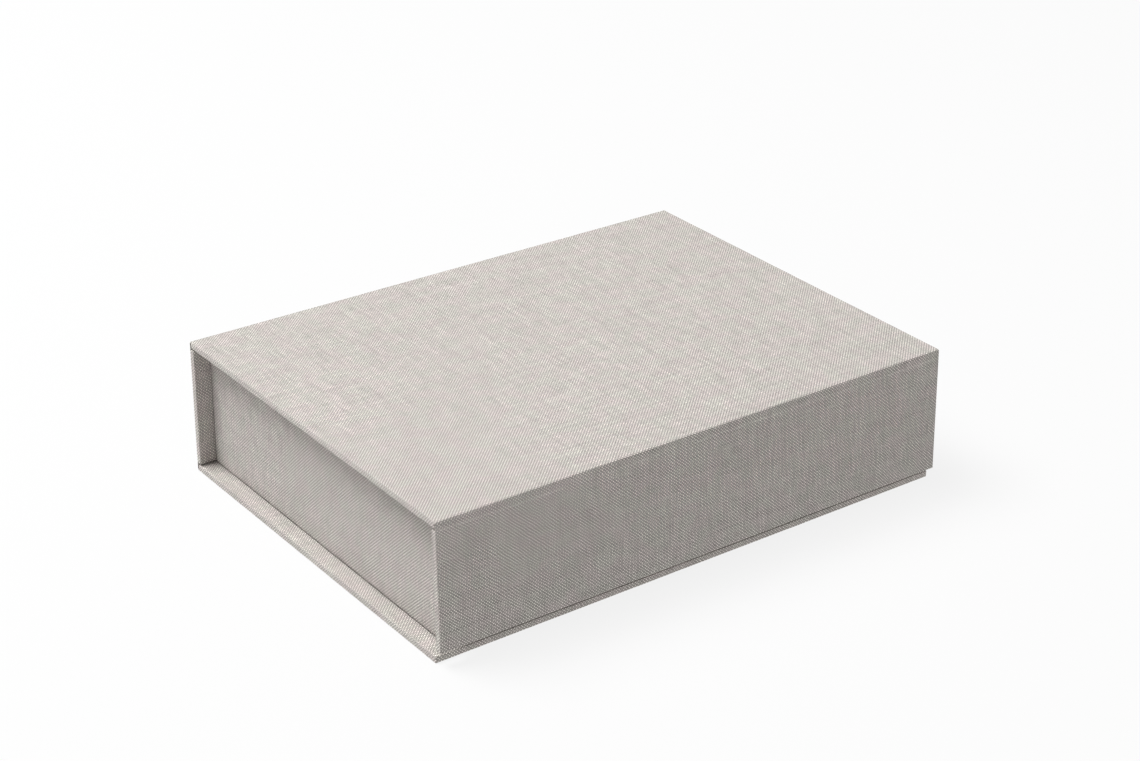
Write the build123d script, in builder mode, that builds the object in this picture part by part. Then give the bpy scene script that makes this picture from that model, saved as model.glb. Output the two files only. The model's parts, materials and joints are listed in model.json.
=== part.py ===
"""Cloth-covered archival box: a wrap-around case with a hinged lid and front flap, and one tray.

The case is a base board, a spine board, a lid board and a front flap, each covered in cloth that
is turned in over the board's edges. The tray is glued to the base and to the spine. The lid hinges
along the top of the spine, and the flap along the lid's front edge, both on joints of cloth.

Frame: +X along the hinges, +Y from the flap to the spine, +Z up. The origin is the centre of the
overall box, at the surface that the base rests on. Millimetres.
"""

from build123d import *
from math import cos, radians, sin
import os

# ---------------------------------------------------------------- driving dimensions

case_length = 235.0  # along the hinges, over the cloth
case_depth = 173.2  # from the lid's front face to the spine's outer face
case_height = 56.9  # from the table to the top of the lid

board = 2.0  # grey board of every panel and tray wall
cloth = 0.4  # covering cloth
lining = 0.3  # lining paper inside the tray

turn_in = 15.0  # cloth turned in over the edge of a case board
tray_turn_in = 12.0  # cloth turned in over the tray's rim
hinge_leg = 12.0  # width of a hinge lining glued to each of its two boards
hinge_gap = 0.8  # bare cloth between two boards at a hinge
fold_gap = 0.1  # between a hinge's cloth and the edge of the lid that swings past it

tray_inset = 6.8  # from the end of the case to the end of the tray
tray_front_gap = 0.5  # between the tray and the flap when the flap hangs upright
lid_rest_gap = 0.1  # between the tray's rim and the lid that rests on it
lining_reveal = 4.0  # turned-in cloth left showing below the tray's rim
base_setback = 1.0  # of the base's front edge behind the lid's front face
spine_foot_gap = 0.5  # between the base and the spine's lower edge
flap_foot_gap = 2.6  # between the base and the flap's lower edge
flap_lean = 2.46  # degrees that the flap hangs out of upright, about the lid's front edge

# ---------------------------------------------------------------- derived sizes

covered = cloth + board + cloth  # a board with its cloth turned in
edge_round = 0.8 * cloth  # softened edge of the cloth
half_length = case_length / 2

base_top = covered
flap_drop = (case_height - base_top - flap_foot_gap) / cos(radians(flap_lean))
flap_reach = flap_drop * sin(radians(flap_lean))
front_y = (flap_reach - case_depth) / 2
back_y = front_y + case_depth

lid_bottom = case_height - covered
lid_front_y = front_y + cloth + fold_gap
lid_back_y = back_y - cloth - fold_gap
spine_bottom = base_top + spine_foot_gap
spine_top = lid_bottom - hinge_gap
flap_top_drop = covered + hinge_gap

tray_half = half_length - tray_inset
tray_front_y = front_y + covered + tray_front_gap
tray_back_y = back_y - covered
tray_rim = lid_bottom - lid_rest_gap
floor_bottom = base_top + cloth
floor_top = floor_bottom + board
wall_top = tray_rim - cloth

os.makedirs("parts", exist_ok=True)


def save(piece, name):
    """Labels a finished piece and writes it as one STEP file of that name."""
    piece.part.label = name
    export_step(piece.part, f"parts/{name}.step")


# ---------------------------------------------------------------- panels and their covering
#
# Each case panel is drawn on its outer face, in a plane whose Z points into the board. Outlines
# are (x low, x high, y low, y high) in that plane.


def outline_rectangle(outline, mode=Mode.ADD):
    """Draws a rectangle by its four edges in the current sketch."""
    x_low, x_high, y_low, y_high = outline
    with Locations(((x_low + x_high) / 2, (y_low + y_high) / 2)):
        Rectangle(x_high - x_low, y_high - y_low, mode=mode)


def layer(face, depth, thickness, outline, hole=None):
    """Adds one flat layer to the current part, starting at a depth inside the outer face."""
    with BuildSketch(face.offset(depth)) as shape:
        outline_rectangle(outline)
        if hole:
            outline_rectangle(hole, mode=Mode.SUBTRACT)
    extrude(shape.sketch, amount=thickness)


def cover(face, outline, pocket, window):
    """Adds a panel's cloth: the outer sheet, its edges round the board, and the turned-in border."""
    layer(face, 0, cloth, outline)
    layer(face, cloth, board, outline, hole=pocket)
    layer(face, cloth + board, cloth, outline, hole=window)


# ---------------------------------------------------------------- base

base_face = Plane.XY
base_front_y = front_y + base_setback
base_outline = (-half_length, half_length, base_front_y, back_y - cloth)
base_pocket = (-half_length + cloth, half_length - cloth, base_front_y + cloth, back_y - cloth)
base_window = (-half_length + turn_in, half_length - turn_in, base_front_y + turn_in, back_y - cloth)

with BuildPart() as base_board:
    layer(base_face, cloth, board, base_pocket)
save(base_board, "base_board")

with BuildPart() as base_cloth:
    cover(base_face, base_outline, base_pocket, base_window)
    layer(base_face, 0, cloth, (-half_length, half_length, back_y - cloth, back_y))
    underside = base_cloth.faces().sort_by(Axis.Z)[0]
    base_edges = underside.edges().filter_by(Axis.Y) + underside.edges().sort_by(Axis.Y)[:1]
    fillet(base_edges, radius=edge_round)
save(base_cloth, "base_cloth")

with BuildPart() as base_lining:
    layer(base_face, cloth + board, cloth, base_window)
save(base_lining, "base_lining")

# ---------------------------------------------------------------- spine

spine_face = Plane(origin=(0, back_y, 0), x_dir=(1, 0, 0), z_dir=(0, -1, 0))
spine_outline = (-half_length, half_length, spine_bottom, spine_top)
spine_pocket = (-half_length + cloth, half_length - cloth, spine_bottom, spine_top)
spine_window = (-half_length + turn_in, half_length - turn_in, spine_bottom, spine_top)
spine_hinge_leg = (*spine_window[:2], spine_top - hinge_leg, spine_top)

with BuildPart() as spine_board:
    layer(spine_face, cloth, board, spine_pocket)
save(spine_board, "spine_board")

with BuildPart() as spine_cloth:
    cover(spine_face, spine_outline, spine_pocket, spine_window)
    layer(spine_face, 0, cloth, (-half_length, half_length, cloth, spine_bottom))
    outer_face = spine_cloth.faces().sort_by(Axis.Y)[-1]
    fillet(outer_face.edges().filter_by(Axis.Z), radius=edge_round)
save(spine_cloth, "spine_cloth")

with BuildPart() as spine_lining:
    layer(spine_face, cloth + board, cloth, spine_window, hole=spine_hinge_leg)
save(spine_lining, "spine_lining")

# ---------------------------------------------------------------- tray boards

floor_half = tray_half - cloth
floor_front_y = tray_front_y + cloth
floor_back_y = tray_back_y - cloth
inner_half = floor_half - board
inner_front_y = floor_front_y + board
inner_back_y = floor_back_y - board
wall_height = wall_top - floor_top

with BuildPart() as tray_floor_board:
    layer(Plane.XY, floor_bottom, board, (-floor_half, floor_half, floor_front_y, floor_back_y))
save(tray_floor_board, "tray_floor_board")

wall_boards = {
    "tray_front_board": (-floor_half, floor_half, floor_front_y, inner_front_y),
    "tray_back_board": (-floor_half, floor_half, inner_back_y, floor_back_y),
    "tray_left_board": (-floor_half, -inner_half, inner_front_y, inner_back_y),
    "tray_right_board": (inner_half, floor_half, inner_front_y, inner_back_y),
}
for name, outline in wall_boards.items():
    with BuildPart() as wall_board:
        layer(Plane.XY, floor_top, wall_height, outline)
    save(wall_board, name)

# ---------------------------------------------------------------- tray covering and linings


def tray_ring(inset):
    """The outline that lies this far inside the tray's outer faces."""
    return (-tray_half + inset, tray_half - inset, tray_front_y + inset, tray_back_y - inset)


with BuildPart() as tray_cloth:
    layer(Plane.XY, base_top, tray_rim - base_top, tray_ring(0), hole=tray_ring(cloth))
    layer(Plane.XY, wall_top, cloth, tray_ring(0), hole=tray_ring(covered))
    rim_turn = tray_rim - tray_turn_in
    layer(Plane.XY, rim_turn, tray_turn_in, tray_ring(cloth + board), hole=tray_ring(covered))
    layer(Plane.XY, base_top, cloth, tray_ring(0), hole=tray_ring(tray_turn_in))
    rim_edges = tray_cloth.faces().sort_by(Axis.Z)[-1].outer_wire().edges()
    fillet(rim_edges, radius=edge_round)
save(tray_cloth, "tray_cloth")

with BuildPart() as tray_floor_lining:
    layer(Plane.XY, floor_top, lining, tray_ring(cloth + board + lining))
save(tray_floor_lining, "tray_floor_lining")

# A wall's lining lies on the board, and steps out over the cut edge of the turned-in cloth. Its
# section is drawn with X pointing into the tray and Y up, from the board's inner face.
long_lining = 2 * (tray_half - covered)
short_lining = tray_back_y - tray_front_y - 2 * (covered + lining)
middle_y = (tray_front_y + tray_back_y) / 2
lining_top = tray_rim - lining_reveal

wall_linings = {
    "tray_front_lining": ((0, inner_front_y), (0, 1, 0), (1, 0, 0), long_lining),
    "tray_back_lining": ((0, inner_back_y), (0, -1, 0), (-1, 0, 0), long_lining),
    "tray_left_lining": ((-inner_half, middle_y), (1, 0, 0), (0, -1, 0), short_lining),
    "tray_right_lining": ((inner_half, middle_y), (-1, 0, 0), (0, 1, 0), short_lining),
}
for name, (foot, inward, along, length) in wall_linings.items():
    section = Plane(origin=(*foot, 0), x_dir=inward, z_dir=along)
    with BuildPart() as wall_lining:
        with BuildSketch(section):
            with BuildLine():
                Polyline(
                    (0, floor_top),
                    (lining, floor_top),
                    (lining, rim_turn - cloth),
                    (cloth + lining, rim_turn),
                    (cloth + lining, lining_top),
                    (cloth, lining_top),
                    (cloth, rim_turn),
                    (0, rim_turn),
                    close=True,
                )
            make_face()
        extrude(amount=length / 2, both=True)
    save(wall_lining, name)

# ---------------------------------------------------------------- lid
#
# The lid's face plane looks down on the lid from above, so its Y runs from the spine to the front.

lid_face = Plane(origin=(0, 0, case_height), x_dir=(1, 0, 0), z_dir=(0, 0, -1))
lid_outline = (-half_length, half_length, -lid_back_y, -lid_front_y)
lid_pocket = (-half_length + cloth, half_length - cloth, -lid_back_y, -lid_front_y)
lid_window = (-half_length + turn_in, half_length - turn_in, -lid_back_y, -lid_front_y)
lid_lining_back_y = back_y - covered - hinge_leg
lid_lining_front_y = front_y + covered + hinge_leg

with BuildPart() as lid_board:
    layer(lid_face, cloth, board, lid_pocket)
save(lid_board, "lid_board")

with BuildPart() as lid_cloth:
    cover(lid_face, lid_outline, lid_pocket, lid_window)
    upper_side = lid_cloth.faces().sort_by(Axis.Z)[-1]
    fillet(upper_side.edges().filter_by(Axis.Y), radius=edge_round)
save(lid_cloth, "lid_cloth")

with BuildPart() as lid_lining:
    layer(lid_face, cloth + board, cloth, (*lid_window[:2], -lid_lining_back_y, -lid_lining_front_y))
save(lid_lining, "lid_lining")

# ---------------------------------------------------------------- flap
#
# The flap's face plane has its origin on the fold at the lid's front edge. Its Y runs down the
# flap and its Z into the flap's board, both leaning with the flap.

lean_sin = sin(radians(flap_lean))
lean_cos = cos(radians(flap_lean))
flap_face = Plane(origin=(0, front_y, case_height), x_dir=(1, 0, 0), z_dir=(0, lean_cos, -lean_sin))
flap_outline = (-half_length, half_length, flap_top_drop, flap_drop)
flap_pocket = (-half_length + cloth, half_length - cloth, flap_top_drop, flap_drop - cloth)
flap_window = (-half_length + turn_in, half_length - turn_in, flap_top_drop, flap_drop - turn_in)
flap_hinge_leg = (*flap_window[:2], flap_top_drop, flap_top_drop + hinge_leg)

with BuildPart() as flap_board:
    layer(flap_face, cloth, board, flap_pocket)
save(flap_board, "flap_board")

with BuildPart() as flap_cloth:
    cover(flap_face, flap_outline, flap_pocket, flap_window)
    front_side = flap_cloth.faces().sort_by(Axis.Y)[0]
    end_edges = front_side.edges().filter_by(Axis.X, reverse=True)
    foot_edge = front_side.edges().filter_by(Axis.X).sort_by(Axis.Z)[:1]
    fillet(end_edges + foot_edge, radius=edge_round)
save(flap_cloth, "flap_cloth")

with BuildPart() as flap_lining:
    layer(flap_face, cloth + board, cloth, flap_window, hole=flap_hinge_leg)
save(flap_lining, "flap_lining")

# ---------------------------------------------------------------- hinges of cloth
#
# Each hinge is one strip of the case's own cloth on the outside, which covers the lid's edge and
# folds at the lid's top face, and one strip of lining cloth glued into the corner on the inside.

with BuildPart() as lid_hinge_cloth:
    layer(spine_face, 0, cloth, (-half_length, half_length, spine_top, case_height))
    fold = lid_hinge_cloth.faces().sort_by(Axis.Y)[-1].edges().sort_by(Axis.Z)[-1]
    fillet(fold, radius=edge_round)
save(lid_hinge_cloth, "lid_hinge_cloth")

with BuildPart() as flap_hinge_cloth:
    layer(flap_face, 0, cloth, (-half_length, half_length, 0, flap_top_drop))
    fold = flap_hinge_cloth.faces().sort_by(Axis.Y)[0].edges().sort_by(Axis.Z)[-1]
    fillet(fold, radius=edge_round)
save(flap_hinge_cloth, "flap_hinge_cloth")


def on_flap(depth, drop):
    """A point of the flap's section, as (y, z)."""
    return (
        front_y + depth * lean_cos - drop * lean_sin,
        case_height - depth * lean_sin - drop * lean_cos,
    )


def inside_corner(depth, height):
    """The point at this height on the plane that lies this deep in the flap, as (y, z)."""
    drop = (case_height - height - depth * lean_sin) / lean_cos
    return on_flap(depth, drop)


lid_hinge_foot = spine_top - hinge_leg
flap_hinge_foot_drop = flap_top_drop + hinge_leg
hinge_sections = {
    "lid_hinge_lining": [
        (lid_lining_back_y, lid_bottom + cloth),
        (lid_lining_back_y, lid_bottom),
        (tray_back_y, lid_bottom),
        (tray_back_y, lid_hinge_foot),
        (tray_back_y + cloth, lid_hinge_foot),
        (tray_back_y + cloth, lid_bottom + cloth),
    ],
    "flap_hinge_lining": [
        (lid_lining_front_y, lid_bottom + cloth),
        (lid_lining_front_y, lid_bottom),
        inside_corner(covered, lid_bottom),
        on_flap(covered, flap_hinge_foot_drop),
        on_flap(cloth + board, flap_hinge_foot_drop),
        inside_corner(cloth + board, lid_bottom + cloth),
    ],
}
for name, corners in hinge_sections.items():
    with BuildPart() as hinge_lining:
        with BuildSketch(Plane.YZ):
            with BuildLine():
                Polyline(*corners, close=True)
            make_face()
        extrude(amount=half_length - turn_in, both=True)
    save(hinge_lining, name)
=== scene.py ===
"""Looks for the cloth-covered archival box: cloth-wrapped panels, folded hinges, linings and a studio.

Everything is in metres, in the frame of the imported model: +X along the hinges, +Y from the flap to
the spine, +Z up. Each panel of the case is made lying in its own axes (x along the hinges, y across
the panel, z out of its outer face, which is at z = 0) and is then placed by its matrix.

One sheet of cloth covers the case. Its own coordinates, which the weave follows, are x along the
hinges and v across them, and v on the lid is the lid's y.
"""

import json
import math

import bmesh
import bpy
from mathutils import Matrix, Vector, noise


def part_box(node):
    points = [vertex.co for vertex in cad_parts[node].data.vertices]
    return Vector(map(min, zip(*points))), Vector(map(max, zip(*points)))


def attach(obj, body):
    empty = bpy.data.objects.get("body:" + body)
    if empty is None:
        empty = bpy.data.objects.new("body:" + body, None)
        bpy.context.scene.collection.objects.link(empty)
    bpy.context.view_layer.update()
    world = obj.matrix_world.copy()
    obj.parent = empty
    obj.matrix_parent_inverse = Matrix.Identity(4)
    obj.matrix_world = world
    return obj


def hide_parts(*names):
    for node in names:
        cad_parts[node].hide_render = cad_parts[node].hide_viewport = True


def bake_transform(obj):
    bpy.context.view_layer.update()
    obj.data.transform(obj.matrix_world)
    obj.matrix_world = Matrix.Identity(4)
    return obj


MM = 0.001

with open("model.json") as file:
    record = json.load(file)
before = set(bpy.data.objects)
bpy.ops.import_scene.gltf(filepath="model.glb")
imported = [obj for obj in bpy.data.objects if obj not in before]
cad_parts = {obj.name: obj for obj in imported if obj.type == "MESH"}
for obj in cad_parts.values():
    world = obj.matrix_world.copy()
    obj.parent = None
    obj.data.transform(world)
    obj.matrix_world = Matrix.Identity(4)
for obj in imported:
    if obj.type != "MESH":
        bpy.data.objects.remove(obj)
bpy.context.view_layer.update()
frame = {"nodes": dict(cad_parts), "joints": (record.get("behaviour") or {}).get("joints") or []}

# ---------------------------------------------------------------- sizes read from the frame

lid_low, lid_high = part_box("lid_cloth")
lid_board_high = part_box("lid_board")[1]
flap_hinge_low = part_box("flap_hinge_cloth")[0]
base_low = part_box("base_cloth")[0]
spine_low, spine_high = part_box("spine_board")
tray_low, tray_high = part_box("tray_cloth")
side_low, side_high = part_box("tray_right_lining")
front_low, front_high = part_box("tray_front_lining")
back_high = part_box("tray_back_lining")[1]
floor_low, floor_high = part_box("tray_floor_lining")
window_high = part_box("base_lining")[1]

hinges = {joint["name"]: joint for joint in frame["joints"]}
REAR_FOLD = Vector(hinges["lid_hinge"]["pos_m"])
FRONT_FOLD = Vector(hinges["flap_hinge"]["pos_m"])

HALF = lid_high.x
TOP = lid_high.z
CLOTH = lid_high.z - lid_board_high.z
COVERED = lid_high.z - lid_low.z
FRONT_Y = FRONT_FOLD.y
BACK_Y = REAR_FOLD.y
TURN_IN = HALF - window_high.x  # cloth turned in over a case board
LEAN = math.atan2(FRONT_Y - flap_hinge_low.y, TOP - flap_hinge_low.z)
FLAP_LENGTH = (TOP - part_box("flap_cloth")[0].z - COVERED * math.sin(LEAN)) / math.cos(LEAN)
PANEL_TOP = TOP - spine_high.z  # from a fold to the board of the panel that hangs from it
SPINE_FOOT = TOP - spine_low.z

TRAY_TURN_IN = 12.0 * MM  # cloth turned in over the tray's rim
HINGE_LEG = 12.0 * MM  # hinge lining glued to each board
REVEAL = 4.0 * MM  # cloth left showing round a lining
HINGE_REVEAL = 3.0 * MM

# ---------------------------------------------------------------- sizes of the soft detail

PANEL = COVERED - 0.05 * MM  # a covered board, with room for the papers on its inner face
SHELL = 0.3 * MM  # cloth as glued down
EDGE = 0.36 * MM  # radius of a covered board's edge
BOARD_EDGE = 0.4 * MM  # radius of a bare board's edge
CORE_GAP = 0.04 * MM  # between a panel's board and the cloth round it
TRAY_LIFT = 0.4 * MM  # dark gap left between the tray's foot and the base
TRAY_EDGE = 0.65 * MM  # radius of the tray's foot and rim
TRAY_CORNER = 1.1 * MM  # radius of the tray's upright corners
TRAY_INNER_CORNER = 0.4 * MM  # least radius of those corners further in
FOLD_RADIUS = 0.95 * MM  # the cloth's outer face round a hinge's fold
FOOT_RADIUS = 1.1 * MM  # the cloth's outer face round the spine's foot
THIN_ROLL = 0.1 * MM  # rounding of a thin sheet's ends
LID_SETBACK = 0.8 * MM  # lid's hinged edges behind the outer faces, leaving room for the folded cloths
STEP = 2.4 * MM  # spacing of the meshes' grid lines
CORE_STEP = 12 * MM  # the same on a panel's board
ARC_STEPS = 3  # segments in half of a rounded edge
SUPPORT = 0.25 * MM  # extra grid line beside a rounded edge, which keeps the flat beside it flat
CUT_SUPPORT = 0.2 * MM  # extra grid lines on both sides of a cut edge
PAPER = 0.07 * MM  # thickness of the lining papers
LINING_CLOTH = 0.05 * MM  # thickness of the hinge linings
GLUE = 0.02 * MM  # gap left under a sheet glued to a panel
PAPER_SLOPE = 0.7 * MM  # width over which paper comes down from a cloth's cut edge
CLOTH_SLOPE = 0.5 * MM  # the same for a hinge lining
TURN_IN_GAP = 0.3 * MM  # between a turned-in cloth and the paper beside it
LEG_SETBACK = 0.4 * EDGE  # hinge linings behind the edge of their panel
UNEVEN = 0.03 * MM  # unevenness of glued cloth
PAPER_UNEVEN = 0.02 * MM
BOARD_UNEVEN = 0.015 * MM
LINING_WEAVE = (0.31, 0.17)  # moves a hinge lining's weave away from that of the cloth beside it
LINING_FOLD_V = 0.4  # v where the weave of a hinge lining's fold starts
TRAY_SHEET = 0.5  # where the tray's sheet lies in the unevenness

# ---------------------------------------------------------------- mesh helpers


def wave(u, v, size=UNEVEN):
    """Slight unevenness of glued cloth, by its place on the sheet."""
    slow = noise.noise(Vector((u * 60, v * 60, 0.3)))
    quick = noise.noise(Vector((u * 230, v * 230, 7.1)))
    return size * (slow + 0.7 * quick)


def make_mesh(name, shape, material, matrix=None):
    """A piece from points, faces and one UV pair for each face corner, with its normals outward."""
    points, faces, uvs = shape
    mesh = bpy.data.meshes.new(name)
    mesh.from_pydata(points, [], faces)
    layer = mesh.uv_layers.new(name="sheet")
    layer.data.foreach_set("uv", [value for pair in uvs for value in pair])
    if matrix is not None:
        mesh.transform(matrix)
    bm = bmesh.new()
    bm.from_mesh(mesh)
    bmesh.ops.recalc_face_normals(bm, faces=bm.faces)
    bm.to_mesh(mesh)
    bm.free()
    mesh.shade_smooth()
    mesh.materials.append(material)
    piece = bpy.data.objects.new(name, mesh)
    bpy.context.scene.collection.objects.link(piece)
    return piece


def closed_sheet(points, under, faces, uvs):
    """Closes a sheet: its faces, the same faces at the points under, and a rim round every cut edge."""
    offset = len(points)
    sides = {}
    all_faces, all_uvs = list(faces), list(uvs)
    k = 0
    for face in faces:
        own = uvs[k : k + len(face)]
        k += len(face)
        all_faces.append([a + offset for a in reversed(face)])
        all_uvs.extend(reversed(own))
        for j, a in enumerate(face):
            after = (j + 1) % len(face)
            sides[(a, face[after])] = (own[j], own[after])
    for (a, b), (uv_a, uv_b) in sides.items():
        if (b, a) not in sides:
            all_faces.append([b, a, a + offset, b + offset])
            all_uvs.extend([uv_b, uv_a, uv_a, uv_b])
    return list(points) + list(under), all_faces, all_uvs


def stops(low, high, radius, step, extra=()):
    """Grid lines along one side of a slab: close together round its edges, and evenly spaced between."""
    arc = [radius * (1 - math.tan(math.pi / 4 * (1 - k / ARC_STEPS))) for k in range(ARC_STEPS + 1)]
    lines = [low + a for a in arc] + [high - a for a in arc]
    first, last = low + radius + SUPPORT, high - radius - SUPPORT
    if last > first:
        count = max(1, math.ceil((last - first) / step))
        lines += [first + (last - first) * k / count for k in range(count + 1)]
        lines += [value for value in extra if first < value < last]
    return sorted(set(round(value, 8) for value in lines))


def slab(lows, highs, radius, place, keep=None, shell=0.0, step=STEP, lines=((), ()), uneven=UNEVEN):
    """A slab with rounded edges, or the thin shell of cloth round it.

    place(axis, side, p, middle) gives the UV of a face's corner. keep(axis, side, middle) says which
    faces the cloth covers, and shell is then the cloth's thickness.
    """
    grid = [stops(lows[k], highs[k], radius, step, lines[k] if k < 2 else ()) for k in range(3)]
    inner_low = [low + radius for low in lows]
    inner_high = [high - radius for high in highs]
    index, points, under, faces, uvs = {}, [], [], [], []

    def point(p, uv):
        key = tuple(round(value, 8) for value in p)
        if key not in index:
            core = Vector(min(max(p[k], inner_low[k]), inner_high[k]) for k in range(3))
            out = (Vector(p) - core).normalized()
            lift = radius + wave(*uv, uneven)
            index[key] = len(points)
            points.append(core + out * lift)
            under.append(core + out * (lift - shell))
        return index[key]

    for axis in range(3):
        i, j = [k for k in range(3) if k != axis]
        for side in (0, 1):
            level = highs[axis] if side else lows[axis]
            for a in range(len(grid[i]) - 1):
                for b in range(len(grid[j]) - 1):
                    middle = [level] * 3
                    middle[i] = (grid[i][a] + grid[i][a + 1]) / 2
                    middle[j] = (grid[j][b] + grid[j][b + 1]) / 2
                    if keep and not keep(axis, side, middle):
                        continue
                    corners = [(a, b), (a + 1, b), (a + 1, b + 1), (a, b + 1)]
                    if bool(side) == (axis == 1):
                        corners.reverse()
                    face = []
                    for ca, cb in corners:
                        p = [level] * 3
                        p[i], p[j] = grid[i][ca], grid[j][cb]
                        uv = place(axis, side, p, middle)
                        face.append(point(p, uv))
                        uvs.append(uv)
                    faces.append(face)
    return closed_sheet(points, under, faces, uvs) if shell else (points, faces, uvs)


def across_strip(half, roll):
    """Places across a strip, as (x of the roll's core, angle round it, u), rolled under at both ends."""
    core = half - roll
    right = [(core, 0.0, core)]
    for k in range(1, 2 * ARC_STEPS + 1):
        angle = math.pi / 4 * k / ARC_STEPS
        reach = math.tan(angle) if angle <= math.pi / 4 else 2 - math.tan(math.pi / 2 - angle)
        right.append((core, angle, core + roll * reach))
    left = [(-x, -angle, -u) for x, angle, u in reversed(right)]
    flat = core - SUPPORT
    count = math.ceil(2 * flat / STEP)
    middle = [-flat + 2 * flat * k / count for k in range(count + 1)]
    return left + [(x, 0.0, x) for x in middle] + right


def strip(path, half, thickness, roll, uneven=UNEVEN):
    """A strip of cloth from x = -half to half that follows a path of (y, z, v).

    The path is its outer face, with the cloth's thickness on the right of the direction of travel.
    """
    across = across_strip(half, roll)
    points, under, faces, uvs = [], [], [], []
    for k, (y, z, v) in enumerate(path):
        y0, z0, _ = path[max(k - 1, 0)]
        y1, z1, _ = path[min(k + 1, len(path) - 1)]
        along = Vector((y1 - y0, z1 - z0)).normalized()
        for core, angle, u in across:
            outer = roll + wave(u, v, uneven)
            for target, reach in ((points, outer), (under, outer - thickness)):
                lift = reach * math.cos(angle) - roll
                x = core + reach * math.sin(angle)
                target.append(Vector((x, y - along.y * lift, z + along.x * lift)))
    width = len(across)
    for k in range(len(path) - 1):
        v0, v1 = path[k][2], path[k + 1][2]
        for j in range(width - 1):
            a = k * width + j
            u0, u1 = across[j][2], across[j + 1][2]
            faces.append([a, a + 1, a + width + 1, a + width])
            uvs.extend([(u0, v0), (u1, v0), (u1, v1), (u0, v1)])
    return closed_sheet(points, under, faces, uvs)


def laid(low, high, height, thickness, lines=((), ()), place=lambda x, y: (x, y)):
    """A thin sheet laid on an uneven face. height gives the face's z, by place."""
    rim = 0.1 * MM
    xs = stops(low[0], high[0], rim, STEP, lines[0])
    ys = stops(low[1], high[1], rim, STEP, lines[1])
    points, under, faces, uvs = [], [], [], []
    for y in ys:
        for x in xs:
            at_rim = min(x - low[0], high[0] - x, y - low[1], high[1] - y) < rim / 4
            z = height(x, y)
            points.append(Vector((x, y, z + thickness * (0.5 if at_rim else 1.0))))
            under.append(Vector((x, y, z)))
    width = len(xs)
    for j in range(len(ys) - 1):
        for i in range(width - 1):
            a = j * width + i
            faces.append([a, a + 1, a + width + 1, a + width])
            around = [(xs[i], ys[j]), (xs[i + 1], ys[j]), (xs[i + 1], ys[j + 1]), (xs[i], ys[j + 1])]
            uvs.extend(place(x, y) for x, y in around)
    return closed_sheet(points, under, faces, uvs)


def soft_step(distance, edge, width):
    """0 before an edge and 1 after it, with a soft step between."""
    t = min(max((distance - edge) / width + 0.5, 0.0), 1.0)
    return t * t * (3 - 2 * t)


def axes_matrix(origin, out):
    """A panel's matrix: its origin, x along the hinges and z along out, the outward normal."""
    along = Vector((1, 0, 0))
    rotation = Matrix((along, out.cross(along), out)).transposed()
    return Matrix.Translation(origin) @ rotation.to_4x4()


# ---------------------------------------------------------------- materials


class Nodes:
    """Short calls for building one material's node tree."""

    def __init__(self, name):
        self.material = bpy.data.materials.new(name)
        self.material.use_nodes = True
        self.tree = self.material.node_tree
        self.tree.nodes.clear()

    def add(self, kind, **settings):
        node = self.tree.nodes.new(kind)
        for key, value in settings.items():
            setattr(node, key, value)
        return node

    def feed(self, socket, value):
        if isinstance(value, bpy.types.NodeSocket):
            self.tree.links.new(value, socket)
        else:
            socket.default_value = value

    def math(self, operation, *values):
        node = self.add("ShaderNodeMath", operation=operation)
        for socket, value in zip(node.inputs, values):
            self.feed(socket, value)
        return node.outputs[0]

    def spread(self, value, low, high, to_low=0.0, to_high=1.0, smooth=False):
        node = self.add("ShaderNodeMapRange", clamp=True)
        if smooth:
            node.interpolation_type = "SMOOTHSTEP"
        for socket, given in zip(node.inputs[:5], (value, low, high, to_low, to_high)):
            self.feed(socket, given)
        return node.outputs[0]

    def vector(self, x, y, z=0.0):
        node = self.add("ShaderNodeCombineXYZ")
        for socket, value in zip(node.inputs, (x, y, z)):
            self.feed(socket, value)
        return node.outputs[0]

    def noise(self, vector, scale, detail=2.0, roughness=0.5):
        node = self.add("ShaderNodeTexNoise", noise_dimensions="3D")
        self.feed(node.inputs["Vector"], vector)
        node.inputs["Scale"].default_value = scale
        node.inputs["Detail"].default_value = detail
        node.inputs["Roughness"].default_value = roughness
        return node.outputs["Fac"]

    def mix(self, factor, a, b, blend="MIX"):
        node = self.add("ShaderNodeMix", data_type="RGBA", blend_type=blend)
        self.feed(node.inputs[0], factor)
        self.feed(node.inputs[6], a)
        self.feed(node.inputs[7], b)
        return node.outputs[2]

    def shaded(self, colour, tone):
        return self.mix(1.0, colour, self.vector(tone, tone, tone), "MULTIPLY")

    def surface(self, colour, height, distance, strength, roughness, sheen=0.0, specular=0.25):
        shader = self.add("ShaderNodeBsdfPrincipled")
        self.feed(shader.inputs["Base Color"], colour)
        self.feed(shader.inputs["Roughness"], roughness)
        shader.inputs["Sheen Weight"].default_value = sheen
        shader.inputs["Sheen Roughness"].default_value = 0.5
        shader.inputs["Specular IOR Level"].default_value = specular
        bump = self.add("ShaderNodeBump")
        bump.inputs["Distance"].default_value = distance
        bump.inputs["Strength"].default_value = strength
        self.feed(bump.inputs["Height"], height)
        self.feed(shader.inputs["Normal"], bump.outputs["Normal"])
        output = self.add("ShaderNodeOutputMaterial")
        self.feed(output.inputs["Surface"], shader.outputs[0])
        return self.material


WARP_PITCH = 0.696 * MM
WEFT_PITCH = 0.653 * MM


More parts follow.
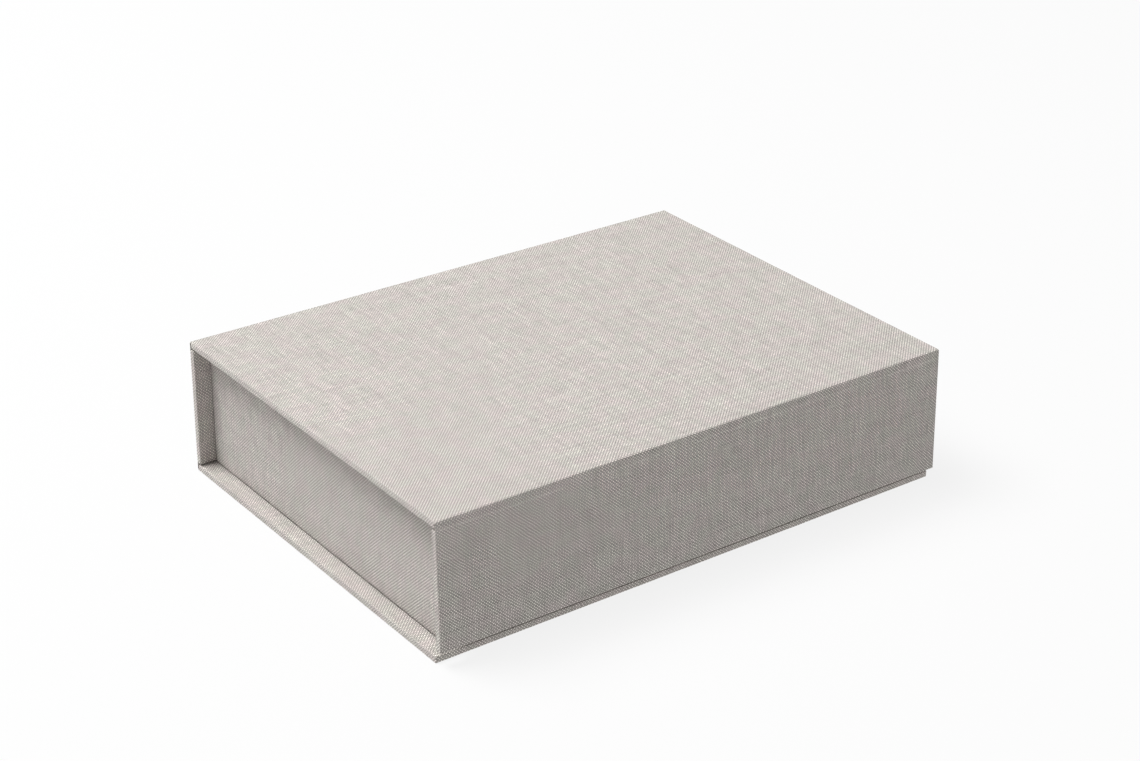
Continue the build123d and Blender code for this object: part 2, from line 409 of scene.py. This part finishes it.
def cloth_material(name, warp_colour, weft_colour, shade=1.0):
    """Two-tone plain-weave linen: threads of two greys, slubs, a faint pink and green cast, and painted
    shade in the hollows between the threads.
    """
    n = Nodes(name)
    uv = n.add("ShaderNodeUVMap", uv_map="sheet").outputs[0]
    split = n.add("ShaderNodeSeparateXYZ")
    n.feed(split.inputs[0], uv)
    drift = n.math("MULTIPLY", n.math("SUBTRACT", n.noise(uv, 110.0, 2.0), 0.5), 1.6)
    across = n.math("ADD", n.math("DIVIDE", split.outputs[0], WARP_PITCH), drift)
    along = n.math("ADD", n.math("DIVIDE", split.outputs[1], WEFT_PITCH), drift)

    wave_x = n.math("SINE", n.math("MULTIPLY", across, math.pi))
    wave_y = n.math("SINE", n.math("MULTIPLY", along, math.pi))
    crossing = n.math("MULTIPLY", wave_x, wave_y)
    warp_on_top = n.spread(crossing, -0.3, 0.3, smooth=True)
    height = n.math("POWER", n.math("ABSOLUTE", crossing), 0.5)

    warp_index = n.math("MULTIPLY", n.math("FLOOR", across), 1.7)
    weft_index = n.math("MULTIPLY", n.math("FLOOR", along), 1.7)
    warp_run = n.vector(warp_index, n.math("MULTIPLY", along, 0.04), 3.1)
    weft_run = n.vector(n.math("MULTIPLY", across, 0.04), weft_index, 8.7)
    warp_shade = n.spread(n.noise(warp_run, 1.0, 2.0, 0.6), 0.25, 0.75, 0.80, 1.20)
    weft_shade = n.spread(n.noise(weft_run, 1.0, 2.0, 0.6), 0.25, 0.75, 0.76, 1.24)
    warp = n.shaded((*warp_colour, 1), warp_shade)
    weft = n.shaded((*weft_colour, 1), weft_shade)
    colour = n.mix(warp_on_top, weft, warp)

    # painted shade: the colour is darkened where the weave's height is low, between the threads, down to
    # 0.05 of it in the deepest hollows
    gap_shade = n.spread(height, 0.0, 0.75, 0.05, 1.0)
    fibres = n.spread(n.noise(uv, 1700.0, 3.0, 0.7), 0.25, 0.75, 0.66, 1.34)
    patches = n.spread(n.noise(uv, 190.0, 3.0, 0.6), 0.25, 0.75, 0.93, 1.07)
    # tone is that painted shade of the hollows, times the threads' random fibre speckle and patches
    tone = n.math("MULTIPLY", n.math("MULTIPLY", gap_shade, fibres), patches)
    colour = n.shaded(colour, n.math("MULTIPLY", tone, shade))
    cast = n.spread(n.noise(uv, 120.0, 2.0, 0.5), 0.35, 0.65, smooth=True)
    colour = n.mix(1.0, colour, n.mix(cast, (1.02, 0.985, 1.0, 1), (0.985, 1.01, 0.985, 1)), "MULTIPLY")

    relief = n.math("ADD", height, n.math("MULTIPLY", n.noise(uv, 5000.0, 1.0), 0.25))
    roughness = n.spread(height, 0.0, 1.0, 0.95, 0.8)
    return n.surface(colour, relief, 0.16 * MM, 1.0, roughness, sheen=0.1)


def paper_material(name, tint):
    """Uncoated lining paper: off-white, with a faint mottle of fibres."""
    n = Nodes(name)
    uv = n.add("ShaderNodeUVMap", uv_map="sheet").outputs[0]
    mottle = n.spread(n.noise(uv, 700.0, 4.0, 0.65), 0.3, 0.7, 0.965, 1.03)
    broad = n.spread(n.noise(uv, 40.0, 2.0), 0.3, 0.7, 0.985, 1.015)
    flecks = n.spread(n.noise(uv, 2600.0, 1.0), 0.72, 0.8, 1.0, 0.93)
    colour = n.shaded((*tint, 1), n.math("MULTIPLY", n.math("MULTIPLY", mottle, broad), flecks))
    relief = n.noise(uv, 1500.0, 4.0, 0.7)
    roughness = n.spread(mottle, 0.96, 1.03, 0.9, 0.78)
    return n.surface(colour, relief, 0.05 * MM, 0.35, roughness, specular=0.3)


def board_material(name, tint):
    """Grey board: pressed fibres in layers, with darker flecks."""
    n = Nodes(name)
    place = n.add("ShaderNodeTexCoord").outputs["Object"]
    stretch = n.add("ShaderNodeMapping")
    n.feed(stretch.inputs["Vector"], place)
    stretch.inputs["Scale"].default_value = (250, 250, 4200)
    plies = n.spread(n.noise(stretch.outputs[0], 1.0, 3.0, 0.6), 0.3, 0.7, 0.86, 1.12)
    flecks = n.spread(n.noise(place, 1900.0, 2.0), 0.62, 0.75, 1.0, 0.72)
    colour = n.shaded((*tint, 1), n.math("MULTIPLY", plies, flecks))
    return n.surface(colour, plies, 0.1 * MM, 0.5, n.spread(plies, 0.86, 1.12, 0.95, 0.85))


WARP_GREY = (0.86, 0.806, 0.761)
WEFT_GREY = (0.44, 0.411, 0.385)
case_cloth = cloth_material("case_cloth_weave", WARP_GREY, WEFT_GREY)
tray_cloth = cloth_material("tray_cloth_weave", WARP_GREY, WEFT_GREY, shade=0.99)
hinge_cloth = cloth_material("hinge_cloth_weave", WARP_GREY, WEFT_GREY, shade=0.97)
lining_paper = paper_material("lining_paper_fibre", (0.575, 0.555, 0.512))
grey_board = board_material("grey_board_plies", (0.30, 0.29, 0.27))


def on_body(piece, body, slot, *nodes):
    """Puts a finished piece on its body and hides the imported parts that it stands for."""
    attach(piece, body)
    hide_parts(*nodes)
    return piece


# ---------------------------------------------------------------- panels of the case


def saved(turn, radius):
    """How much shorter the cloth is round a rounded corner than along its two straight sides."""
    return 2 * radius * math.tan(turn / 2) - radius * turn


FLAP_V = FRONT_Y + saved(math.pi / 2 - LEAN, FOLD_RADIUS)
SPINE_V = BACK_Y - saved(math.pi / 2, FOLD_RADIUS)
BASE_V = SPINE_V + TOP + BACK_Y - saved(math.pi / 2, FOOT_RADIUS)

LID = axes_matrix(Vector((0, 0, TOP)), Vector((0, 0, 1)))
BASE = axes_matrix(Vector((0, 0, 0)), Vector((0, 0, -1)))
SPINE = axes_matrix(Vector((0, BACK_Y, TOP)), Vector((0, 1, 0)))
FLAP = axes_matrix(FRONT_FOLD, Vector((0, -math.cos(LEAN), math.sin(LEAN))))

# name: matrix, span in y, sides with turned-in cloth, hinged sides, v of the panel's y = 0, body
PANELS = {
    "lid": (LID, (FRONT_Y + LID_SETBACK, BACK_Y - LID_SETBACK), (), ("low", "high"), 0.0, "lid"),
    "flap": (FLAP, (-FLAP_LENGTH, -PANEL_TOP), ("low",), ("high",), FLAP_V, "flap"),
    "spine": (SPINE, (PANEL_TOP, SPINE_FOOT), (), ("low", "high"), SPINE_V, "case_and_tray"),
    "base": (BASE, (LID_SETBACK - BACK_Y, -base_low.y), ("high",), ("low",), BASE_V, "case_and_tray"),
}


def nearest_turned(name, x, y):
    """How far a place on a panel is from the nearest edge with cloth turned in, and which edge that is."""
    _, (low, high), turned, _, _, _ = PANELS[name]
    found = [(HALF - abs(x), "x")]
    if "low" in turned:
        found.append((y - low, "low"))
    if "high" in turned:
        found.append((high - y, "high"))
    return min(found)


def cloth_place(name):
    """The place on the case's sheet of each point of a panel's cover."""
    _, (low, high), _, _, v0, _ = PANELS[name]

    def place(axis, side, p, middle):
        x, y, z = p
        if axis == 0:
            return (x - z if side else x + z, y + v0)
        if axis == 1:
            return (x, y - z + v0 if side else y + z + v0)
        if side:
            return (x, y + v0)
        edge = nearest_turned(name, middle[0], middle[1])[1]
        if edge == "x":
            return (math.copysign(2 * HALF + PANEL - abs(x), middle[0]), y + v0)
        if edge == "low":
            return (x, 2 * low - PANEL - y + v0)
        return (x, 2 * high + PANEL - y + v0)

    return place


def cloth_covers(name):
    """Which faces of a panel have the case's cloth on them."""
    _, (low, high), _, hinged, _, _ = PANELS[name]

    def covers(axis, side, p):
        if axis < 2 or side:
            return True
        near_fold = [p[1] - low] * ("low" in hinged) + [high - p[1]] * ("high" in hinged)
        return nearest_turned(name, p[0], p[1])[0] < TURN_IN or min(near_fold) < EDGE + SUPPORT

    return covers


def cut_lines(name):
    """Grid lines at the cut edges of the turned-in cloth and of the hinge linings."""
    _, (low, high), _, _, _, _ = PANELS[name]
    near = [-CUT_SUPPORT, 0, CUT_SUPPORT]
    xs = [side * (HALF - TURN_IN + d) for d in near for side in (-1, 1)]
    ys = [low + reach + d for d in near for reach in (TURN_IN, HINGE_LEG)]
    ys += [high - reach + d for d in near for reach in (TURN_IN, HINGE_LEG)]
    return xs, ys


def cover(name):
    """A panel's cloth: its outer sheet, its edges round the board and its turned-in borders."""
    matrix, (low, high), _, _, _, body = PANELS[name]
    shape = slab(
        (-HALF, low, -PANEL),
        (HALF, high, 0.0),
        EDGE,
        place=cloth_place(name),
        keep=cloth_covers(name),
        shell=SHELL,
        lines=cut_lines(name),
    )
    piece = make_mesh(f"{name}_cover", shape, case_cloth, matrix)
    return on_body(piece, body, "case_cloth", f"{name}_cloth")


def core(name):
    """A panel's grey board, a little inside its cloth."""
    matrix, (low, high), _, _, _, body = PANELS[name]
    inset = SHELL + CORE_GAP
    shape = slab(
        (-HALF + inset, low + inset, -PANEL + inset),
        (HALF - inset, high - inset, -inset),
        BOARD_EDGE,
        place=lambda axis, side, p, middle: (p[0], p[1]),
        step=CORE_STEP,
        uneven=BOARD_UNEVEN,
    )
    piece = make_mesh(f"{name}_core", shape, grey_board, matrix)
    return on_body(piece, body, "grey_board", f"{name}_board")


cores = {name: core(name) for name in PANELS}
covers = {name: cover(name) for name in PANELS}

# ---------------------------------------------------------------- linings on the panels' inner faces

LINED_OVER_TURN_INS = ("lid", "flap")


def panel_lining(name):
    """Lining paper on a panel's inner face, which shows the edges of the cloths under it."""
    matrix, (low, high), _, hinged, _, body = PANELS[name]
    margin = REVEAL if name in LINED_OVER_TURN_INS else TURN_IN + TURN_IN_GAP
    reach = HALF - margin
    first = low + (HINGE_REVEAL if "low" in hinged else margin)
    last = high - (HINGE_REVEAL if "high" in hinged else margin)

    def height(x, y):
        cloths = SHELL * (1 - soft_step(nearest_turned(name, x, y)[0], TURN_IN, PAPER_SLOPE))
        to_fold = min([y - low] * ("low" in hinged) + [high - y] * ("high" in hinged))
        leg = LINING_CLOTH * (1 - soft_step(to_fold, HINGE_LEG, PAPER_SLOPE))
        return -(PANEL - SHELL + cloths + leg + wave(x, y, PAPER_UNEVEN) + GLUE)

    shape = laid((-reach, first), (reach, last), height, -PAPER, lines=cut_lines(name))
    piece = make_mesh(f"{name}_paper", shape, lining_paper, matrix)
    return on_body(piece, body, "lining_paper", f"{name}_lining")


for name in PANELS:
    panel_lining(name)


def hinge_leg(name, side, node):
    """One leg of a hinge lining, glued to a panel's inner face beside its fold."""
    matrix, (low, high), _, _, v0, body = PANELS[name]
    reach = HALF - REVEAL / 2
    first, last = low + LEG_SETBACK, low + HINGE_LEG
    if side == "high":
        first, last = high - HINGE_LEG, high - LEG_SETBACK
    u_shift, v_shift = LINING_WEAVE

    def height(x, y):
        edge = y - low if side == "low" else high - y
        rounding = EDGE - math.sqrt(EDGE**2 - max(EDGE - edge, 0) ** 2)
        turned = SHELL * (1 - soft_step(nearest_turned(name, x, y)[0], TURN_IN, CLOTH_SLOPE))
        at_edge = SHELL * (1 - soft_step(edge, EDGE + SUPPORT, CLOTH_SLOPE))
        return -(PANEL - SHELL + max(turned, at_edge) - rounding + GLUE)

    shape = laid(
        (-reach, first),
        (reach, last),
        height,
        -LINING_CLOTH,
        lines=cut_lines(name),
        place=lambda x, y: (x + u_shift, y + v0 + v_shift),
    )
    piece = make_mesh(f"{node}_on_{name}", shape, hinge_cloth, matrix)
    return on_body(piece, body, "hinge_cloth", node)


rear_lid_leg = hinge_leg("lid", "high", "lid_hinge_lining")
spine_leg = hinge_leg("spine", "low", "lid_hinge_lining")
front_lid_leg = hinge_leg("lid", "low", "flap_hinge_lining")
flap_leg = hinge_leg("flap", "high", "flap_hinge_lining")

# ---------------------------------------------------------------- folds of the case's cloth
#
# A fold's section is in (y, z). The cloth runs one way before the fold's corner and another after it.

DOWN = Vector((0, -1))
FORWARD = Vector((-1, 0))
BACKWARD = Vector((1, 0))
FLAP_DOWN = Vector((-math.sin(LEAN), -math.cos(LEAN)))
FLAT_START = LID_SETBACK + EDGE  # where the lid's flat face begins, from a fold


def turn_at(corner, before, after, radius, steps=8):
    """Points round a corner, from the direction before to the direction after."""
    turn = before.angle(after)
    side = (after - before * before.dot(after)).normalized()
    centre = corner - before * (radius * math.tan(turn / 2)) + side * radius
    angles = [turn * k / steps for k in range(steps + 1)]
    return [centre + (before * math.sin(a) - side * math.cos(a)) * radius for a in angles]


def run(a, b, step=1.2 * MM):
    """Evenly spaced points from a to b, with both ends."""
    count = max(1, math.ceil((b - a).length / step))
    return [a.lerp(b, k / count) for k in range(count + 1)]


def measured(points, start=0.0, sign=1):
    """(first, second, v) for points of a path, with v counting along it from start."""
    rows, s = [], 0.0
    for k, p in enumerate(points):
        s += (p - points[k - 1]).length if k else 0.0
        rows.append((p.x, p.y, start + sign * s))
    return rows


def fold_path(corner, before, after, first, last, v_start, sign, radius=FOLD_RADIUS):
    """The cloth's outer face round a fold, from first before the corner to last after it."""
    turned = turn_at(corner, before, after, radius)
    points = run(corner - before * first, turned[0])[:-1] + turned
    points += run(turned[-1], corner + after * last)[1:]
    return measured(points, v_start, sign)


def inside_of(path, depth, sign):
    """The path that lies this far inside another: on the right of its direction of travel for sign 1."""
    rows = []
    for k, (y, z, v) in enumerate(path):
        y0, z0, _ = path[max(k - 1, 0)]
        y1, z1, _ = path[min(k + 1, len(path) - 1)]
        along = Vector((y1 - y0, z1 - z0)).normalized()
        rows.append((y + sign * along.y * depth, z - sign * along.x * depth, v))
    return rows


def hinge(fold, before, after, v_start, sign, node, lining_node):
    """The cloth round a hinge's fold, and the lining glued behind it."""
    corner = Vector((fold.y, fold.z))
    path = fold_path(corner, before, after, FLAT_START, PANEL_TOP + EDGE, v_start, sign)
    behind = fold_path(corner, before, after, FOLD_RADIUS + THIN_ROLL, PANEL_TOP, LINING_FOLD_V, 1)
    inner = inside_of(behind, SHELL, 1 if before.x > 0 else -1)
    if before.x < 0:
        path.reverse()
        inner.reverse()
    cloth = make_mesh(f"{node}_fold", strip(path, HALF, SHELL, EDGE), case_cloth)
    lining_shape = strip(inner, HALF - REVEAL / 2, LINING_CLOTH, THIN_ROLL)
    lining = make_mesh(f"{lining_node}_fold", lining_shape, hinge_cloth)
    for piece, slot, replaced in ((cloth, "case_cloth", node), (lining, "hinge_cloth", lining_node)):
        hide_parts(replaced)
        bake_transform(piece)
    return cloth, lining


front_fold, front_lining = hinge(
    FRONT_FOLD,
    FORWARD,
    FLAP_DOWN,
    FRONT_Y + FLAT_START,
    -1,
    "flap_hinge_cloth",
    "flap_hinge_lining",
)
rear_fold, rear_lining = hinge(
    REAR_FOLD,
    BACKWARD,
    DOWN,
    BACK_Y - FLAT_START,
    1,
    "lid_hinge_cloth",
    "lid_hinge_lining",
)

foot_path = fold_path(
    Vector((BACK_Y, 0)),
    DOWN,
    FORWARD,
    TOP - SPINE_FOOT + EDGE,
    FLAT_START,
    SPINE_V + SPINE_FOOT - EDGE,
    1,
    radius=FOOT_RADIUS,
)
foot_fold = make_mesh("spine_foot_fold", strip(foot_path, HALF, SHELL, EDGE), case_cloth)
on_body(foot_fold, "case_and_tray", "case_cloth", "spine_cloth", "base_cloth")

# ---------------------------------------------------------------- tray

TRAY_MIDDLE = (tray_low + tray_high) / 2
TRAY_HALF = (tray_high - tray_low) / 2
CORNER_STEPS = 4
EDGE_STEPS = 6


def ring(inset, radius):
    """A rounded rectangle this far inside the tray's outer faces.

    It returns rows of (place, outward, u), and its length.
    """
    hx, hy = TRAY_HALF.x - inset, TRAY_HALF.y - inset
    cx, cy = hx - radius, hy - radius
    sides = [
        (Vector((-cx, -hy)), Vector((cx, -hy)), Vector((0, -1)), 2 * TRAY_HALF.x),
        (Vector((hx, -cy)), Vector((hx, cy)), Vector((1, 0)), 2 * TRAY_HALF.y),
        (Vector((cx, hy)), Vector((-cx, hy)), Vector((0, 1)), 2 * TRAY_HALF.x),
        (Vector((-hx, cy)), Vector((-hx, -cy)), Vector((-1, 0)), 2 * TRAY_HALF.y),
    ]
    rows, u0 = [], 0.0
    for a, b, out, full in sides:
        count = math.ceil(full / STEP)
        margin = (full - (b - a).length) / 2
        for k in range(count + 1):
            rows.append((a.lerp(b, k / count), out, u0 + margin + (b - a).length * k / count))
        onward = (b - a).normalized()
        for k in range(1, CORNER_STEPS):
            turn = math.pi / 2 * k / CORNER_STEPS
            outward = out * math.cos(turn) + onward * math.sin(turn)
            place = b - out * radius + outward * radius
            rows.append((place, outward, u0 + full - margin + 2 * margin * k / CORNER_STEPS))
        u0 += full
    return rows, u0


def tray_profile():
    """The cloth's outer face in section, as (inset, z, v): under the tray, up, over the rim and in."""
    low, high = tray_low.z + TRAY_LIFT, tray_high.z
    corners = [
        Vector((TRAY_TURN_IN, low)),
        Vector((0.0, low)),
        Vector((0.0, high)),
        Vector((COVERED, high)),
        Vector((COVERED, high - TRAY_TURN_IN)),
    ]
    points = [corners[0]]
    for before, corner, after in zip(corners, corners[1:], corners[2:]):
        way_in = (corner - before).normalized()
        way_out = (after - corner).normalized()
        turned = turn_at(corner, way_in, way_out, TRAY_EDGE, EDGE_STEPS)
        points += run(points[-1], turned[0], STEP)[1:] + turned[1:]
    return measured(points + run(points[-1], corners[-1], STEP)[1:])


def tray_cover():
    profile = tray_profile()
    points, under, faces, uvs, us = [], [], [], [], []
    for k, (inset, z, v) in enumerate(profile):
        d0, z0, _ = profile[max(k - 1, 0)]
        d1, z1, _ = profile[min(k + 1, len(profile) - 1)]
        way = Vector((d1 - d0, z1 - z0)).normalized()
        for target, depth in ((points, 0.0), (under, SHELL)):
            deep = inset + way.y * depth
            rows, length = ring(deep, max(TRAY_CORNER - deep, TRAY_INNER_CORNER))
            for place, out, u in rows:
                lift = wave(u + TRAY_SHEET, v)
                moved = place + out * (way.y * lift)
                x, y = TRAY_MIDDLE.x + moved.x, TRAY_MIDDLE.y + moved.y
                target.append(Vector((x, y, z + way.x * (lift - depth))))
            if target is points:
                us.append([row[2] for row in rows])
    width = len(us[0])
    for k in range(len(profile) - 1):
        v0, v1 = profile[k][2], profile[k + 1][2]
        for j in range(width):
            after = (j + 1) % width
            wrap = 0.0 if after else length
            row, above = k * width, (k + 1) * width
            faces.append([row + j, row + after, above + after, above + j])
            uvs.extend([(us[k][j], v0), (us[k][after] + wrap, v0)])
            uvs.extend([(us[k + 1][after] + wrap, v1), (us[k + 1][j], v1)])
    piece = make_mesh("tray_cover", closed_sheet(points, under, faces, uvs), tray_cloth)
    return on_body(piece, "case_and_tray", "tray_cloth", "tray_cloth")


tray_cover()

for name in ("floor", "front", "back", "left", "right"):
    board = frame["nodes"][f"tray_{name}_board"]
    board.data.materials.clear()
    board.data.materials.append(grey_board)


PAPER_ON_FLOOR = 0.2 * MM  # underside of the floor's paper above the tray's floor board


def floor_paper():
    shape = laid(
        (floor_low.x, floor_low.y),
        (floor_high.x, floor_high.y),
        lambda x, y: floor_low.z + PAPER_ON_FLOOR + wave(x, y, PAPER_UNEVEN),
        PAPER,
    )
    piece = make_mesh("tray_floor_paper", shape, lining_paper)
    return on_body(piece, "case_and_tray", "lining_paper", "tray_floor_lining")


floor_paper()


def wall_paper(side, foot, half, out):
    """A wall's lining paper: up the board, out over the turned-in cloth's cut edge, and on up."""
    turned_edge = tray_high.z - TRAY_TURN_IN
    on_board, on_cloth = 0.12 * MM, CLOTH + 0.08 * MM  # the paper's face, in front of the board's
    below, above = 0.9 * MM, 0.1 * MM  # where the slope over the cut edge starts and ends
    into_floor = 0.1 * MM
    corners = [
        Vector((on_board, floor_high.z - into_floor)),
        Vector((on_board, turned_edge - below)),
        Vector((on_cloth, turned_edge + above)),
        Vector((on_cloth, side_high.z)),
    ]
    points = [corners[0]]
    for a, b in zip(corners, corners[1:]):
        points += run(a, b, STEP)[1:]
    rows = measured(points)
    shape = strip(rows[::-1], half, PAPER, THIN_ROLL, uneven=PAPER_UNEVEN)
    up = Vector((0, 0, 1))
    rotation = Matrix((out.cross(up), out, up)).transposed().to_4x4()
    piece = make_mesh(f"tray_{side}_paper", shape, lining_paper, Matrix.Translation(foot) @ rotation)
    return on_body(piece, "case_and_tray", "lining_paper", f"tray_{side}_lining")


inner_x = side_high.x
middle_y = (side_low.y + side_high.y) / 2
long_half = (front_high.x - front_low.x) / 2
short_half = (side_high.y - side_low.y) / 2
wall_paper("front", Vector((0, front_low.y, 0)), long_half, Vector((0, 1, 0)))
wall_paper("back", Vector((0, back_high.y, 0)), long_half, Vector((0, -1, 0)))
wall_paper("left", Vector((-inner_x, middle_y, 0)), short_half, Vector((1, 0, 0)))
wall_paper("right", Vector((inner_x, middle_y, 0)), short_half, Vector((-1, 0, 0)))

# ---------------------------------------------------------------- studio

SWEEP = 6.0  # half the floor's side
FLOOR_LEVEL = -0.06 * MM  # just under the lowest cloth
FLOOR_GLOW = 0.84
FLOOR_WHITE = 0.10
BACKDROP_WHITE = 0.97
SKY = 0.36
LAMP_PLACE = (-0.92, 0.9, 2.4)
LAMP_TARGET = (0, 0, 0.03)
LAMP_SIZE = (1.6, 1.6)
LAMP_POWER = 101.0


def glowing(name, strength, albedo):
    """White that is lit and also bright in itself, as a lit paper sweep is."""
    n = Nodes(name)
    place = n.add("ShaderNodeTexCoord").outputs["Object"]
    tone = n.spread(n.noise(place, 3.0, 2.0), 0.3, 0.7, 0.995, 1.0)
    diffuse = n.add("ShaderNodeBsdfDiffuse")
    n.feed(diffuse.inputs["Color"], n.shaded((albedo, albedo, albedo, 1), tone))
    glow = n.add("ShaderNodeEmission")
    glow.inputs["Strength"].default_value = strength
    both = n.add("ShaderNodeAddShader")
    n.feed(both.inputs[0], diffuse.outputs[0])
    n.feed(both.inputs[1], glow.outputs[0])
    output = n.add("ShaderNodeOutputMaterial")
    n.feed(output.inputs["Surface"], both.outputs[0])
    return n.material


def floor():
    """A plain pale table top."""
    around = ((-1, -1), (1, -1), (1, 1), (-1, 1))
    corners = [(x * SWEEP, y * SWEEP, FLOOR_LEVEL) for x, y in around]
    mesh = bpy.data.meshes.new("floor")
    mesh.from_pydata(corners, [], [(0, 1, 2, 3)])
    mesh.materials.append(glowing("studio_floor", FLOOR_GLOW, FLOOR_WHITE))
    piece = bpy.data.objects.new("floor", mesh)
    bpy.context.scene.collection.objects.link(piece)


def backdrop():
    """A plain pale dome round the floor, which is seen but gives no light."""
    mesh = bpy.data.meshes.new("backdrop")
    bm = bmesh.new()
    bmesh.ops.create_uvsphere(bm, u_segments=48, v_segments=24, radius=SWEEP * 0.95)
    bm.to_mesh(mesh)
    bm.free()
    mesh.shade_smooth()
    mesh.materials.append(glowing("studio_backdrop", BACKDROP_WHITE, 0.0))
    piece = bpy.data.objects.new("backdrop", mesh)
    bpy.context.scene.collection.objects.link(piece)
    piece.visible_diffuse = False
    piece.visible_glossy = False
    piece.visible_transmission = False
    piece.visible_shadow = False


def area_light(name, place, target, size, power):
    data = bpy.data.lights.new(name, "AREA")
    data.shape = "RECTANGLE"
    data.size, data.size_y = size
    data.energy = power
    lamp = bpy.data.objects.new(name, data)
    bpy.context.scene.collection.objects.link(lamp)
    lamp.location = place
    lamp.rotation_mode = "QUATERNION"
    lamp.rotation_quaternion = (Vector(target) - Vector(place)).to_track_quat("-Z", "Y")


def studio():
    floor()
    backdrop()
    scene = bpy.context.scene
    world = bpy.data.worlds.new("studio")
    scene.world = world
    world.use_nodes = True
    sky = world.node_tree.nodes["Background"]
    sky.inputs["Color"].default_value = (1.0, 1.0, 1.0, 1)
    sky.inputs["Strength"].default_value = SKY
    area_light("overhead", LAMP_PLACE, LAMP_TARGET, LAMP_SIZE, LAMP_POWER)
    scene.view_settings.view_transform = "Standard"
    scene.view_settings.look = "None"


VIEW_AZIMUTH = math.radians(36.65)  # the camera looks this far round from +Y towards +X
VIEW_ELEVATION = math.radians(26.49)
VIEW_ROLL = math.radians(0.74)
VIEW_DISTANCE = 0.9428
VIEW_ASIDE = 0.00226
VIEW_ABOVE = -0.01182
VIEW_TARGET = Vector((0, 0.0011, 0.0284))
SENSOR = 36.0  # mm
LENS = 75.47  # mm, for that sensor


def camera():
    data = bpy.data.cameras.new("camera")
    data.sensor_width = SENSOR
    data.lens = LENS
    eye = bpy.data.objects.new("camera", data)
    bpy.context.scene.collection.objects.link(eye)
    level, rise = math.cos(VIEW_ELEVATION), math.sin(VIEW_ELEVATION)
    ahead = Vector((math.sin(VIEW_AZIMUTH) * level, math.cos(VIEW_AZIMUTH) * level, -rise))
    right = Vector((math.cos(VIEW_AZIMUTH), -math.sin(VIEW_AZIMUTH), 0))
    up = right.cross(ahead)
    place = VIEW_TARGET - ahead * VIEW_DISTANCE + right * VIEW_ASIDE - up * VIEW_ABOVE
    turned_right = right * math.cos(VIEW_ROLL) + up * math.sin(VIEW_ROLL)
    turned_up = up * math.cos(VIEW_ROLL) - right * math.sin(VIEW_ROLL)
    rotation = Matrix((turned_right, turned_up, -ahead)).transposed()
    eye.matrix_world = Matrix.Translation(place) @ rotation.to_4x4()
    bpy.context.scene.camera = eye


studio()
camera()
